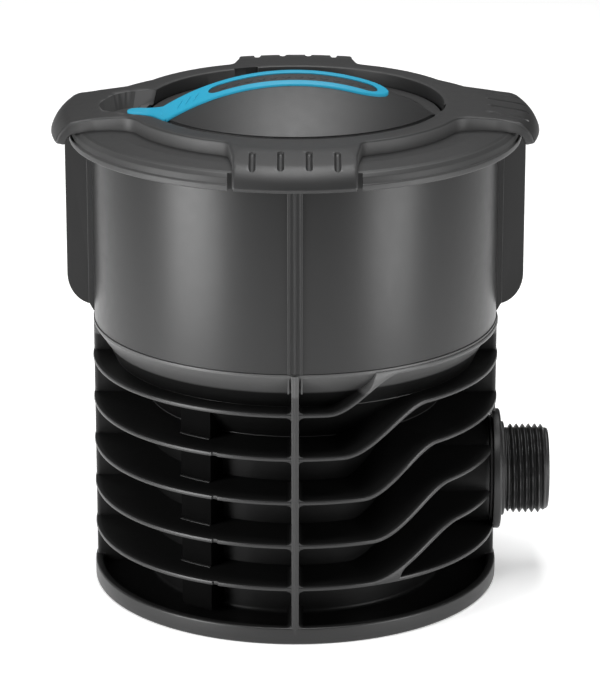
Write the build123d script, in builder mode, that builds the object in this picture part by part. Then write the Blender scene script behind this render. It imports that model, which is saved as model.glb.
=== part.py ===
from build123d import *
import os
from math import cos, radians, sin, sqrt

# In-ground irrigation filter box: a ribbed pot with a threaded side inlet, a strainer cartridge
# with a sprung hose socket inside it, and a four-armed lid with a domed hatch.
# Millimetres. The origin is on the pot's axis, on the face that it stands on. +X points at the
# inlet, -Y is the front and +Z is up.

# Ribbed base
RIM_R = 59.6
RIM_H = 5.1
RIM_WALL = 2.4
FLOOR_H = 3.0
CORE_R = 42.6
CORE_WALL = 2.5
CORE_TOP = 56.8
HIP_R = 52.6
HIP_Z = 69.1
SHOULDER_R = 55.0
SHOULDER_Z = 74.0
COLLAR_R = 59.3
COLLAR_Z = 78.9
SEAM_Z = 80.6
FIN_R = 59.5
FIN_T = 1.3
FIN_ROOT_R = CORE_R - 1.0
FIN_LEVELS = (68.6, 55.7, 42.7, 29.6, 16.8)
FIN_RISE = 12.9
WAVE_START = (9.0, 13.0, 18.7, 21.7, 20.9)
WAVE_SPAN = (21.0, 26.3, 24.5, 27.0, 31.7)
TOP_FIN_RISE = 10.6
WEB_LOW_END = 31.0
WEB_HIGH_START = 23.5
RIB_W = 2.4
SPIGOT_R = 56.1
SPIGOT_WALL = 2.2
SPIGOT_H = 7.0
DRAIN_COUNT = 6
DRAIN_PCD_R = 33.0

# Upper shell
SHELL_R = 58.7
SHELL_WALL = 2.4
SHELL_TOP = 134.6
SEAM_RIB_W = 4.2
WING_R = 66.5
WING_T = 3.0
WING_LOW_Z = 82.3
WING_CORNER_Z = 91.0
LEDGE_INNER_R = 53.2
LEDGE_Z = (124.0, 127.0)
LEDGE_ANGLE = 15.0
LUG_SWEEP = 20.0

# Inlet
PORT_Z = 31.9
BOSS_R = 15.8
BOSS_X = (36.2, 57.2)
NUT_R = 17.0
NUT_L = 6.0
GASKET_T = 0.8
FLANGE_R = 17.8
FLANGE_T = 2.6
COLLAR_PORT_R = 13.95
BARREL_R = 12.9
PORT_GROOVE_X = (25.4, 28.2)
PORT_GROOVE_R = 11.6
PORT_ORING_R = 12.3
WATER_R = 9.8
INLET_END_X = 74.8
INLET_INNER_X = 24.0
THREAD_MAJOR_R = 13.22
THREAD_MINOR_R = 12.06
THREAD_PITCH = 1.814
THREAD_CRESTS = 6
THREAD_START_X = 62.5
LEAD_IN_R = 12.1

# Valve body
CHAMBER_R = 18.0
CHAMBER_WALL = 3.0
CHAMBER_TOP = 88.0
FOOT_R = 26.0
FOOT_T = 3.0
SCREW_PCD_R = 23.2
SCREW_R = 1.5
PORT_SOCKET_R = 16.5
BAYONET_R = 27.8
HOOK_SWEEP = 30.0
HEAD_LUG_SWEEP = 24.0
HEAD_LUG_ANGLE = 30.0
HOOK_ANGLE = -10.0

# Cartridge
HEAD_BORE_R = 8.6
MOUTH_R = 8.9
GRIP_ROOM_R = 10.6
GRIP_ROOM_Z = (104.0, 107.2)
HEAD_TUBE_R = 13.5
HEAD_TOP = 111.5
HEAD_FLANGE_R = 22.5
HEAD_FLANGE_T = 2.8
NECK_R = 17.85
NECK_BOTTOM = 74.6
SEAT_Z = 86.0
SEAT_T = 2.5
SEAT_R = 6.0
STRAINER_R = 16.4
STRAINER_BOTTOM = 12.0
BRIDGE_Z = 72.0
POPPET_R = 8.0
POPPET_Z = 82.5
STEM_R = 2.0

# Lid
OPENING_R = 42.7
SLEEVE_R = 45.6
SLEEVE_BOTTOM = 130.5
RING_R = 49.8
RING_TOP = 144.0
PLATE_TOP = 140.0
PLATE_EDGE_R = 65.1
PLATE_EDGE_Z = 138.4
LID_RIM_R = 65.2
LID_RIM_BOTTOM = 133.8
PLATE_UNDER = 136.0
NOTCH_R = 62.6
NOTCH_W = 1.2
ARM_END_R = 70.4
ARM_WALL = 3.2
SIDE_ARM_HALF = (20.0, 18.0)
FRONT_ARM_HALF = (18.5, 17.2)
ARM_FLARE_R = 60.0
SLOT_PITCH = 7.8
SLOT_W = 1.7
SLOT_COUNT = 4
SKIRT_R = 52.6
SKIRT_WALL = 2.4
SKIRT_BOTTOM = 119.0
LID_SCREW_R = 48.0
LID_SCREW_ANGLE = 20.0

# Hatch
HATCH_R = 42.2
HATCH_BOTTOM = 133.0
HATCH_NECK_WALL = 3.6
DOME_R = 72.1
DOME_CENTRE_Z = 85.9
DOME_WALL = 2.5
RIDGE_Y = -14.5
BOWL_R = 109.4
BOWL_BOTTOM = 133.5
STRIP_T = 0.8
STRIP_W = 9.0
STRIP_LEFT_X = -37.0
STRIP_RIGHT_X = 26.0
INLAY_T = 0.35
INLAY_L = 48.3
INLAY_W = 4.1
INLAY_CENTRE = (-1.25, -18.45)
NECK_TOP = 140.2
HATCH_LUG_ANGLE = -10.0
HATCH_LUG_R = 43.3
HATCH_LUG_Z = (138.4, 140.0)
HATCH_TURN = 20.0
TAB_Z = (142.2, 144.0)


os.makedirs("parts", exist_ok=True)


def turned(outline, mode=Mode.ADD):
    """Turns an (r, z) outline about the Z axis."""
    with BuildSketch(Plane.XZ) as profile:
        with BuildLine():
            Polyline(*outline, close=True)
        make_face()
    revolve(profile.sketch, axis=Axis.Z, mode=mode)


def turned_about_inlet(outline, mode=Mode.ADD):
    """Turns an (x, r) outline about the inlet's axis."""
    with BuildSketch(Plane(origin=(0, 0, PORT_Z), x_dir=(1, 0, 0), z_dir=(0, -1, 0))) as profile:
        with BuildLine():
            Polyline(*outline, close=True)
        make_face()
    revolve(profile.sketch, axis=Axis((0, 0, PORT_Z), (1, 0, 0)), mode=mode)


def ring(low, high, outer, inner=0.0, mode=Mode.ADD):
    """A plain ring or disc about the Z axis, between two heights."""
    with BuildSketch(Plane.XY.offset(low)) as face:
        Circle(outer)
        if inner:
            Circle(inner, mode=Mode.SUBTRACT)
    extrude(face.sketch, amount=high - low, mode=mode)


def ring_segment(low, high, outer, inner, centre_angle, sweep, mode=Mode.ADD):
    """Part of a ring: centre_angle is counted from +X towards +Y, in degrees."""
    start = centre_angle - sweep / 2
    ends = [start + sweep * step / 2 for step in range(3)]
    far = [Vector(outer * cos(radians(a)), outer * sin(radians(a))) for a in ends]
    near = [Vector(inner * cos(radians(a)), inner * sin(radians(a))) for a in ends]
    with BuildSketch(Plane.XY.offset(low)) as face:
        with BuildLine():
            ThreePointArc(*far)
            Line(far[2], near[2])
            ThreePointArc(*reversed(near))
            Line(near[0], far[0])
        make_face()
    extrude(face.sketch, amount=high - low, mode=mode)


def turned_segment(outline, centre_angle, sweep, mode=Mode.ADD):
    """Part of a turned (r, z) outline: centre_angle is counted from +X towards +Y, in degrees."""
    start = radians(centre_angle - sweep / 2)
    outward = (cos(start), sin(start), 0)
    with BuildSketch(Plane(origin=(0, 0, 0), x_dir=outward, z_dir=(sin(start), -cos(start), 0))) as face:
        with BuildLine():
            Polyline(*outline, close=True)
        make_face()
    revolve(face.sketch, axis=Axis.Z, revolution_arc=sweep, mode=mode)


def bar(low, high, x_span, y_span, mode=Mode.ADD):
    """A square block between two heights."""
    centre = ((x_span[0] + x_span[1]) / 2, (y_span[0] + y_span[1]) / 2)
    with BuildSketch(Plane.XY.offset(low)) as face:
        with Locations(centre):
            Rectangle(x_span[1] - x_span[0], y_span[1] - y_span[0])
    extrude(face.sketch, amount=high - low, mode=mode)


def torus(centre_z, major, minor):
    """An O-ring about the Z axis."""
    with BuildSketch(Plane.XZ) as profile:
        with Locations((major, centre_z)):
            Circle(minor)
    revolve(profile.sketch, axis=Axis.Z)


def coil(low, high, radius, wire_r, turns):
    """A round-wire spring about the Z axis, between the centres of its end turns."""
    with BuildLine(Plane.XY.offset(low)) as path:
        Helix(pitch=(high - low) / turns, height=high - low, radius=radius)
    with BuildSketch(Plane(origin=path.line @ 0, z_dir=path.line % 0)) as wire:
        Circle(wire_r)
    sweep(wire.sketch, path=path.line, is_frenet=True)


def save(piece, name):
    """Names a finished sub-part and writes its STEP file."""
    piece.part.label = name
    export_step(piece.part, f"parts/{name}.step")


# ---------------------------------------------------------------- ribbed base


def smooth(share):
    """0 to 1 with level ends."""
    share = min(max(share, 0.0), 1.0)
    return share * share * (3 - 2 * share)


def fin_rise(index):
    return TOP_FIN_RISE if index == 0 else FIN_RISE


def wave_z(index, theta):
    """Height of a fin at theta degrees from the front, towards the inlet."""
    share = (theta - WAVE_START[index]) / WAVE_SPAN[index]
    return FIN_LEVELS[index] + fin_rise(index) * smooth(share)


def radial_slice(theta, low, high):
    """A radial slice from the core to the fins' edge, theta degrees from the front."""
    outward = Vector(sin(radians(theta)), -cos(radians(theta)), 0)
    plane = Plane(origin=(0, 0, low), x_dir=outward, z_dir=outward.cross(Vector(0, 0, 1)))
    with BuildSketch(plane) as face:
        with Locations(((FIN_ROOT_R + FIN_R) / 2, (high - low) / 2)):
            Rectangle(FIN_R - FIN_ROOT_R, high - low)
    return face.sketch.faces()[0]


def level_fin(z, start, sweep):
    """A level stretch of fin, from start degrees and towards the inlet side."""
    face = radial_slice(start, z - FIN_T / 2, z + FIN_T / 2)
    revolve(face, axis=Axis.Z, revolution_arc=sweep)


def fin_half(index, theta):
    """Half of a fin's height in a radial slice: it grows where the fin climbs."""
    share = (theta - WAVE_START[index]) / WAVE_SPAN[index]
    climb = max(share * (1 - share), 0.0) * 6 * fin_rise(index) / radians(WAVE_SPAN[index])
    return FIN_T / 2 * sqrt(1 + (climb / FIN_R) ** 2)


def fin_low(index):
    return lambda theta: wave_z(index, theta) - fin_half(index, theta)


def fin_high(index):
    return lambda theta: wave_z(index, theta) + fin_half(index, theta)


def stretch(start, end, low_z, high_z, back):
    """A stretch of fin between two angles; its two faces are given as heights over the angle."""
    steps = max(3, round((end - start) / 2.5))
    slices = []
    for step in range(steps + 1):
        theta = start + (end - start) * step / steps
        angle = 180 - theta if back else theta
        slices.append(radial_slice(angle, low_z(theta), high_z(theta)))
    loft(slices)


with BuildPart() as ribbed_base:
    turned([
        (0, 0), (RIM_R - 0.8, 0), (RIM_R, 0.8), (RIM_R, RIM_H), (RIM_R - RIM_WALL, RIM_H),
        (RIM_R - RIM_WALL, FLOOR_H), (CORE_R, FLOOR_H), (CORE_R, CORE_TOP), (HIP_R, HIP_Z),
        (SHOULDER_R, SHOULDER_Z), (COLLAR_R, COLLAR_Z), (COLLAR_R, SEAM_Z), (SPIGOT_R, SEAM_Z),
        (SPIGOT_R, SEAM_Z + SPIGOT_H), (SPIGOT_R - SPIGOT_WALL, SEAM_Z + SPIGOT_H),
        (SPIGOT_R - SPIGOT_WALL, SEAM_Z - 1), (SHOULDER_R - CORE_WALL, SHOULDER_Z + 1),
        (HIP_R - CORE_WALL, HIP_Z + 0.6), (CORE_R - CORE_WALL, CORE_TOP + 0.8),
        (CORE_R - CORE_WALL, FLOOR_H), (0, FLOOR_H),
    ])
    for index, z in enumerate(FIN_LEVELS):
        first = WAVE_START[index]
        level_fin(z, 180 - first, 180 + 2 * first)
        if index > 0:
            last = first + WAVE_SPAN[index]
            level_fin(z + FIN_RISE, last, 180 - 2 * last)
    level_fin(FIN_LEVELS[-1], WEB_LOW_END, 180 - 2 * WEB_LOW_END)
    for behind in (False, True):
        for index in (1, 2, 3):
            last = WAVE_START[index] + WAVE_SPAN[index]
            stretch(WAVE_START[index], last, fin_low(index), fin_high(index), behind)
        last = WAVE_START[4] + WAVE_SPAN[4]
        stretch(WAVE_START[4], WEB_LOW_END, lambda t: FIN_LEVELS[4] - FIN_T / 2, fin_high(4), behind)
        stretch(WEB_LOW_END, last, fin_low(4), fin_high(4), behind)
        last = WAVE_START[0] + WAVE_SPAN[0]
        stretch(WAVE_START[0], WEB_HIGH_START, fin_low(0), fin_high(0), behind)
        stretch(WEB_HIGH_START, last, fin_low(0), lambda t: COLLAR_Z + 0.6, behind)
    for side in (-1, 1):
        front_span = sorted((side * (CORE_R - 1), side * (FIN_R + 0.4)))
        bar(FLOOR_H, COLLAR_Z + 0.5, (-RIB_W / 2, RIB_W / 2), front_span)
        side_span = sorted((side * (CORE_R - 1), side * (FIN_R - 0.3)))
        bar(FLOOR_H, COLLAR_Z + 0.5, side_span, (-RIB_W / 2, RIB_W / 2))
    turned_about_inlet([(BOSS_X[0], 0), (BOSS_X[1], 0), (BOSS_X[1], BOSS_R), (BOSS_X[0], BOSS_R)])
    turned_about_inlet(
        [(BOSS_X[0] - 5, 0), (BOSS_X[1] + 5, 0), (BOSS_X[1] + 5, BARREL_R + 0.4),
         (BOSS_X[0] - 5, BARREL_R + 0.4)],
        mode=Mode.SUBTRACT,
    )
    turned_about_inlet(
        [(BOSS_X[1], 0), (RIM_R + 2, 0), (RIM_R + 2, FLANGE_R + 0.3), (BOSS_X[1], FLANGE_R + 0.3)],
        mode=Mode.SUBTRACT,
    )
    with BuildSketch() as drains:
        with PolarLocations(DRAIN_PCD_R, DRAIN_COUNT, start_angle=30):
            SlotOverall(11, 4, rotation=90)
        with PolarLocations(SCREW_PCD_R, 4, start_angle=45):
            Circle(SCREW_R + 0.05)
    extrude(drains.sketch, amount=FLOOR_H, mode=Mode.SUBTRACT)
save(ribbed_base, "ribbed_base")


# ---------------------------------------------------------------- upper shell

with BuildPart() as upper_shell:
    ring(SEAM_Z, SHELL_TOP, SHELL_R, SHELL_R - SHELL_WALL)
    for side in (-1, 1):
        with BuildSketch(Plane.XZ.offset(-WING_T / 2)) as wing:
            with BuildLine():
                low = Vector(side * (SHELL_R - 1), WING_LOW_Z - 0.4)
                foot = Vector(side * 60.2, WING_LOW_Z)
                corner = Vector(side * (WING_R - 1.6), WING_LOW_Z + 3.4)
                rise = Vector(side * WING_R, WING_CORNER_Z)
                tip = Vector(side * WING_R, LID_RIM_BOTTOM - 0.2)
                inner = Vector(side * (SHELL_R - 1), LID_RIM_BOTTOM - 0.2)
                Line(inner, low)
                Line(low, foot)
                ThreePointArc(foot, corner, rise)
                Line(rise, tip)
                Line(tip, inner)
            make_face()
        extrude(wing.sketch, amount=WING_T)
    for face_y in (-1, 1):
        rib_span = sorted((face_y * (SHELL_R - 1), face_y * (SHELL_R + 0.8)))
        bar(SEAM_Z, LID_RIM_BOTTOM - 0.4, (-SEAM_RIB_W / 2, SEAM_RIB_W / 2), rib_span)
        groove_span = sorted((face_y * (SHELL_R + 0.4), face_y * (SHELL_R + 1.5)))
        bar(SEAM_Z, LID_RIM_BOTTOM - 0.4, (-1.3, -0.3), groove_span, Mode.SUBTRACT)
        bar(SEAM_Z, LID_RIM_BOTTOM - 0.4, (0.3, 1.3), groove_span, Mode.SUBTRACT)
    for quarter in range(4):
        ring_segment(
            *LEDGE_Z, SHELL_R - SHELL_WALL + 0.5, LEDGE_INNER_R,
            LEDGE_ANGLE + 90 * quarter, LUG_SWEEP,
        )
save(upper_shell, "upper_shell")


# ---------------------------------------------------------------- inlet


def thread_outline():
    """Crests of the inlet's thread, as (x, r) points; each crest has a short flat land."""
    land = 0.2
    points = []
    for crest in range(THREAD_CRESTS):
        x = THREAD_START_X + THREAD_PITCH * (crest + 0.5)
        points.append((x - THREAD_PITCH / 2 + 0.05, THREAD_MINOR_R))
        points.append((x - land, THREAD_MAJOR_R))
        points.append((x + land, THREAD_MAJOR_R))
        points.append((x + THREAD_PITCH / 2 - 0.05, THREAD_MINOR_R))
    return points


flange_x = BOSS_X[1] + GASKET_T
face_x = flange_x + FLANGE_T

with BuildPart() as inlet_connector:
    turned_about_inlet([
        (INLET_INNER_X, WATER_R), (INLET_INNER_X, BARREL_R - 0.6),
        (INLET_INNER_X + 0.6, BARREL_R), (PORT_GROOVE_X[0], BARREL_R),
        (PORT_GROOVE_X[0], PORT_GROOVE_R), (PORT_GROOVE_X[1], PORT_GROOVE_R),
        (PORT_GROOVE_X[1], BARREL_R), (flange_x, BARREL_R), (flange_x, FLANGE_R),
        (face_x - 0.8, FLANGE_R),
        (face_x, FLANGE_R - 0.8), (face_x, COLLAR_PORT_R), (face_x + 0.8, COLLAR_PORT_R),
        (face_x + 1.2, COLLAR_PORT_R - 0.4), (face_x + 1.2, THREAD_MINOR_R),
        *thread_outline(),
        (INLET_END_X - 0.6, LEAD_IN_R), (INLET_END_X, LEAD_IN_R - 0.6), (INLET_END_X, WATER_R),
    ])
save(inlet_connector, "inlet_connector")

with BuildPart() as inlet_gasket:
    turned_about_inlet([
        (BOSS_X[1], BARREL_R + 0.6), (flange_x, BARREL_R + 0.6), (flange_x, BOSS_R),
        (BOSS_X[1], BOSS_R),
    ])
save(inlet_gasket, "inlet_gasket")

with BuildPart() as inlet_oring:
    with BuildSketch(Plane.XZ) as section:
        with Locations((sum(PORT_GROOVE_X) / 2, PORT_Z + PORT_ORING_R)):
            Circle(0.66)
    revolve(section.sketch, axis=Axis((0, 0, PORT_Z), (1, 0, 0)))
save(inlet_oring, "inlet_oring")

with BuildPart() as inlet_lock_nut:
    with BuildSketch(Plane(origin=(BOSS_X[0] - NUT_L, 0, PORT_Z), x_dir=(0, 1, 0), z_dir=(1, 0, 0))):
        RegularPolygon(NUT_R, 6)
        Circle(BARREL_R + 0.05, mode=Mode.SUBTRACT)
    extrude(amount=NUT_L)
    chamfer(inlet_lock_nut.edges().filter_by(GeomType.LINE).group_by(Axis.X)[0], length=0.5)
save(inlet_lock_nut, "inlet_lock_nut")


# ---------------------------------------------------------------- valve body

foot_top = FLOOR_H + FOOT_T

with BuildPart() as valve_body:
    chamber_out = CHAMBER_R + CHAMBER_WALL
    turned([
        (0, FLOOR_H), (FOOT_R, FLOOR_H), (FOOT_R, foot_top), (chamber_out, foot_top),
        (chamber_out, CHAMBER_TOP - 6), (BAYONET_R, CHAMBER_TOP - 3.5),
        (BAYONET_R, CHAMBER_TOP), (CHAMBER_R, CHAMBER_TOP), (CHAMBER_R, foot_top + 2),
        (0, foot_top + 2),
    ])
    for third in range(3):
        turned_segment(
            [(25.4, CHAMBER_TOP - 1), (BAYONET_R - 0.3, CHAMBER_TOP - 1), (BAYONET_R - 0.3, 93.6),
             (23.0, 93.6), (23.0, 91.2), (25.4, 91.2)],
            HOOK_ANGLE + 120 * third, HOOK_SWEEP,
        )
    turned_about_inlet([(10, 0), (30, 0), (30, PORT_SOCKET_R), (10, PORT_SOCKET_R)])
    ring(foot_top + 2, CHAMBER_TOP - 10, CHAMBER_R, mode=Mode.SUBTRACT)
    turned_about_inlet(
        [(6, 0), (31, 0), (31, BARREL_R + 0.1), (23.5, BARREL_R + 0.1), (23.5, 11), (6, 11)],
        mode=Mode.SUBTRACT,
    )
    with BuildSketch(Plane.XY.offset(FLOOR_H)) as screw_holes:
        with PolarLocations(SCREW_PCD_R, 4, start_angle=45):
            Circle(SCREW_R + 0.1)
    extrude(screw_holes.sketch, amount=FOOT_T, mode=Mode.SUBTRACT)
save(valve_body, "valve_body")

with BuildPart() as body_screws:
    with BuildSketch(Plane.XY.offset(0.6)) as shanks:
        with PolarLocations(SCREW_PCD_R, 4, start_angle=45):
            Circle(SCREW_R)
    extrude(shanks.sketch, amount=foot_top - 0.6)
    with BuildSketch(Plane.XY.offset(foot_top)) as heads:
        with PolarLocations(SCREW_PCD_R, 4, start_angle=45):
            Circle(2.1)
    extrude(heads.sketch, amount=1.6)
    with BuildSketch(Plane.XY.offset(foot_top + 0.7)) as drives:
        with PolarLocations(SCREW_PCD_R, 4, start_angle=45):
            RegularPolygon(1.2, 6)
    extrude(drives.sketch, amount=1.0, mode=Mode.SUBTRACT)
save(body_screws, "body_screws")


# ---------------------------------------------------------------- cartridge

flange_top = CHAMBER_TOP + HEAD_FLANGE_T

with BuildPart() as socket_head:
    turned([
        (SEAT_R, SEAT_Z), (12.0, SEAT_Z), (12.0, NECK_BOTTOM), (NECK_R, NECK_BOTTOM),
        (NECK_R, 80.3), (16.4, 80.3), (16.4, 82.3), (NECK_R, 82.3), (NECK_R, CHAMBER_TOP),
        (HEAD_FLANGE_R, CHAMBER_TOP), (HEAD_FLANGE_R, flange_top), (HEAD_TUBE_R, flange_top),
        (HEAD_TUBE_R, HEAD_TOP), (MOUTH_R, HEAD_TOP), (MOUTH_R, GRIP_ROOM_Z[1]),
        (GRIP_ROOM_R, GRIP_ROOM_Z[1]), (GRIP_ROOM_R, GRIP_ROOM_Z[0]),
        (HEAD_BORE_R, GRIP_ROOM_Z[0]), (HEAD_BORE_R, 93.0), (9.9, 93.0), (9.9, 91.0),
        (HEAD_BORE_R, 91.0), (HEAD_BORE_R, SEAT_Z + SEAT_T), (SEAT_R, SEAT_Z + SEAT_T),
    ])
    for third in range(3):
        ring_segment(
            CHAMBER_TOP, flange_top, 25.1, HEAD_FLANGE_R - 0.5,
            HEAD_LUG_ANGLE + 120 * third, HEAD_LUG_SWEEP,
        )
save(socket_head, "socket_head")

with BuildPart() as head_oring:
    torus(81.3, 17.2, 0.72)
save(head_oring, "head_oring")

with BuildPart() as plug_seal:
    torus(92.0, 9.26, 0.62)
save(plug_seal, "plug_seal")

with BuildPart() as grip_ring:
    ring_segment(GRIP_ROOM_Z[0] + 0.2, GRIP_ROOM_Z[1] - 0.2, GRIP_ROOM_R - 0.1, 8.65, 90, 336)
    with BuildSketch(Plane.XY.offset(GRIP_ROOM_Z[0] + 0.2)) as slits:
        with PolarLocations(10, 6):
            Rectangle(1.6, 1.0)
    extrude(slits.sketch, amount=3, mode=Mode.SUBTRACT)
save(grip_ring, "grip_ring")

with BuildPart() as head_cap:
    turned([
        (MOUTH_R, HEAD_TOP), (15.5, HEAD_TOP), (15.5, HEAD_TOP + 2.2), (14.7, HEAD_TOP + 3),
        (MOUTH_R + 1, HEAD_TOP + 3), (MOUTH_R, HEAD_TOP + 2),
    ])
save(head_cap, "head_cap")

with BuildPart() as release_collar:
    turned([
        (13.6, 99.0), (13.6, 111.4), (16.2, 111.4), (17.0, 110.6), (17.0, 108.0), (16.5, 107.5),
        (16.5, 106.5), (17.0, 106.0), (17.0, 104.5), (16.5, 104.0), (16.5, 103.0),
        (17.0, 102.5), (17.0, 95.0), (16.0, 95.0), (16.0, 99.0),
    ])
    fillet(release_collar.edges().group_by(Axis.Z)[-1], radius=0.3)
save(release_collar, "release_collar")

with BuildPart() as collar_spring:
    coil(91.4, 98.4, 14.8, 0.5, 4)
save(collar_spring, "collar_spring")

with BuildPart() as valve_plunger:
    turned([
        (0, 66.0), (STEM_R - 0.5, 66.0), (STEM_R, 66.5), (STEM_R, POPPET_Z),
        (POPPET_R, POPPET_Z), (POPPET_R, 84.7), (STEM_R, 84.7), (STEM_R, 101.0), (0, 101.0),
    ])
    bar(94.0, 101.0, (-5.2, 5.2), (-0.8, 0.8))
    bar(94.0, 101.0, (-0.8, 0.8), (-5.2, 5.2))
save(valve_plunger, "valve_plunger")

with BuildPart() as valve_washer:
    ring(84.7, 85.95, POPPET_R, STEM_R + 0.02)
save(valve_washer, "valve_washer")

with BuildPart() as valve_spring:
    coil(72.55, 81.95, 5.0, 0.5, 4)
save(valve_spring, "valve_spring")

with BuildPart() as strainer_frame:
    ring(70.0, NECK_BOTTOM, 17.6, 13.5)
    ring(69.5, BRIDGE_Z, 3.6)
    bar(69.5, BRIDGE_Z, (-14.0, 14.0), (-1.0, 1.0))
    bar(69.5, BRIDGE_Z, (-1.0, 1.0), (-14.0, 14.0))
    ring(69.0, BRIDGE_Z + 0.5, STEM_R + 0.15, mode=Mode.SUBTRACT)
    ring(STRAINER_BOTTOM, 14.6, STRAINER_R)
    for hoop_z in (31.5, 50.5):
        ring(hoop_z, hoop_z + 2, STRAINER_R, 15.2)
    for sixth in range(6):
        ring_segment(14.0, 70.5, STRAINER_R - 0.1, 15.3, 60 * sixth + 30, 8)
save(strainer_frame, "strainer_frame")

with BuildPart() as strainer_mesh:
    ring(14.6, 69.5, 15.15, 14.65)
save(strainer_mesh, "strainer_mesh")


# ---------------------------------------------------------------- lid

with BuildPart() as lid_plate:
    turned([
        (46.0, PLATE_UNDER), (SKIRT_R - SKIRT_WALL, PLATE_UNDER),
        (SKIRT_R - SKIRT_WALL, SKIRT_BOTTOM), (SKIRT_R, SKIRT_BOTTOM), (SKIRT_R, PLATE_UNDER),
        (60.4, PLATE_UNDER), (61.0, LID_RIM_BOTTOM), (LID_RIM_R, LID_RIM_BOTTOM),
        (LID_RIM_R, LID_RIM_BOTTOM + 0.8), (64.5, LID_RIM_BOTTOM + 2.2),
        (64.5, PLATE_EDGE_Z - 0.9), (PLATE_EDGE_R, PLATE_EDGE_Z), (RING_R, PLATE_TOP),
        (46.0, PLATE_TOP),
    ])
    for quarter in range(4):
        ring_segment(SKIRT_BOTTOM, 122.5, 55.8, SKIRT_R - 1, 45 + 90 * quarter, LUG_SWEEP)
    with BuildSketch(Plane.XY.offset(PLATE_UNDER - 1)) as plate_holes:
        with PolarLocations(LID_SCREW_R, 4, start_angle=LID_SCREW_ANGLE):
            Circle(SCREW_R + 0.1)
    extrude(plate_holes.sketch, amount=6, mode=Mode.SUBTRACT)
    for quarter in range(4):
        half = (FRONT_ARM_HALF if quarter % 2 else SIDE_ARM_HALF)[1]
        start = sqrt(NOTCH_R**2 - half**2)
        with BuildSketch(Plane.XY.offset(LID_RIM_BOTTOM - 1)) as notches:
            with Locations(Location((0, 0, 0), (0, 0, 90 * quarter))):
                with Locations((start + 5, half + NOTCH_W / 2), (start + 5, -half - NOTCH_W / 2)):
                    Rectangle(10, NOTCH_W)
        extrude(notches.sketch, amount=8, mode=Mode.SUBTRACT)
save(lid_plate, "lid_plate")


def arm_outline():
    """Side outline of a lid arm as (r, z) lines: a flat top that curls down over the rim."""
    Line((RING_R - 4, RING_TOP), (54.0, RING_TOP))
    Line((54.0, RING_TOP), (65.6, 142.9))
    Spline(
        (65.6, 142.9), (69.1, 140.2), (ARM_END_R, 136.1),
        tangents=[(1, -0.1), (0.05, -1)],
    )
    Line((ARM_END_R, 136.1), (67.9, 136.1))
    Spline(
        (67.9, 136.1), (66.8, 138.3), (64.9, 139.75),
        tangents=[(-0.05, 1), (-1, 0.1)],
    )
    Line((64.9, 139.75), (52.0, PLATE_TOP + 0.05))
    Line((52.0, PLATE_TOP + 0.05), (RING_R - 4, PLATE_TOP + 0.05))
    Line((RING_R - 4, PLATE_TOP + 0.05), (RING_R - 4, RING_TOP))


def arm_column(angle, halves):
    """Tall block with the plan of one lid arm; halves are its half widths, inner and outer."""
    inner, outer = halves
    outward = (cos(radians(angle)), sin(radians(angle)), 0)
    with BuildSketch(Plane(origin=(0, 0, 130), x_dir=outward, z_dir=(0, 0, 1))) as plan:
        with BuildLine():
            Polyline(
                (44.0, -inner), (ARM_FLARE_R, -outer), (76.0, -outer), (76.0, outer),
                (ARM_FLARE_R, outer), (44.0, inner), close=True,
            )
        make_face()
    extrude(plan.sketch, amount=20)


with BuildPart() as arm_disc:
    with BuildSketch(Plane.XZ) as side:
        with BuildLine():
            arm_outline()
        make_face()
    revolve(side.sketch, axis=Axis.Z)

with BuildPart() as arm_columns:
    for quarter in range(4):
        arm_column(90 * quarter, FRONT_ARM_HALF if quarter % 2 else SIDE_ARM_HALF)

arms = arm_disc.part & arm_columns.part

with BuildPart() as lid_ring:
    ring(PLATE_TOP + 0.05, RING_TOP, RING_R, OPENING_R)
    ring(SLEEVE_BOTTOM, PLATE_TOP + 1, SLEEVE_R, OPENING_R)
    add(arms)
    ring(120.0, 150.0, OPENING_R, mode=Mode.SUBTRACT)
    ring(SLEEVE_BOTTOM, HATCH_BOTTOM, SLEEVE_R - 0.5, HATCH_R - HATCH_NECK_WALL + 0.6)
    for third in range(3):
        slot_angle = HATCH_LUG_ANGLE + 120 * third
        entry = [(OPENING_R - 1, HATCH_LUG_Z[0] - 0.2), (HATCH_LUG_R + 0.2, HATCH_LUG_Z[0] - 0.2)]
        entry += [(HATCH_LUG_R + 0.2, RING_TOP + 1), (OPENING_R - 1, RING_TOP + 1)]
        turned_segment(entry, slot_angle, 10, Mode.SUBTRACT)
        ring_segment(
            HATCH_LUG_Z[0] - 0.2, HATCH_LUG_Z[1] + 0.2, HATCH_LUG_R + 0.2, OPENING_R - 1,
            slot_angle - HATCH_TURN / 2 - 1, HATCH_TURN + 10, Mode.SUBTRACT,
        )
    for quarter in (0, 1, 3):
        with BuildSketch(Plane.XY.offset(141.6)) as grip_slots:
            with Locations(Location((0, 0, 0), (0, 0, 90 * quarter))):
                with Locations((64.3, 0)):
                    with GridLocations(0, SLOT_PITCH, 1, SLOT_COUNT):
                        SlotOverall(15.6, SLOT_W)
        extrude(grip_slots.sketch, amount=5, mode=Mode.SUBTRACT)
    with BuildSketch(Plane.XY.offset(PLATE_TOP)) as pocket:
        with BuildLine():
            Polyline(
                (-34.8, -25.8), (-40.9, -17.9), (-47.6, -15.2), (-54.4, -11.4), (-57.0, -3.0),
                (-52.0, 8.6), (-40.4, 13.2), (-34.8, 15.0), close=True,
            )
        make_face()
        fillet(pocket.vertices().sort_by(Axis.X)[:3], radius=3.0)
    extrude(pocket.sketch, amount=6, mode=Mode.SUBTRACT)
    with BuildSketch(Plane.XY.offset(PLATE_TOP)) as ring_holes:
        with PolarLocations(LID_SCREW_R, 4, start_angle=LID_SCREW_ANGLE):
            Circle(SCREW_R + 0.05)
    extrude(ring_holes.sketch, amount=2.6, mode=Mode.SUBTRACT)
save(lid_ring, "lid_ring")

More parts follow.
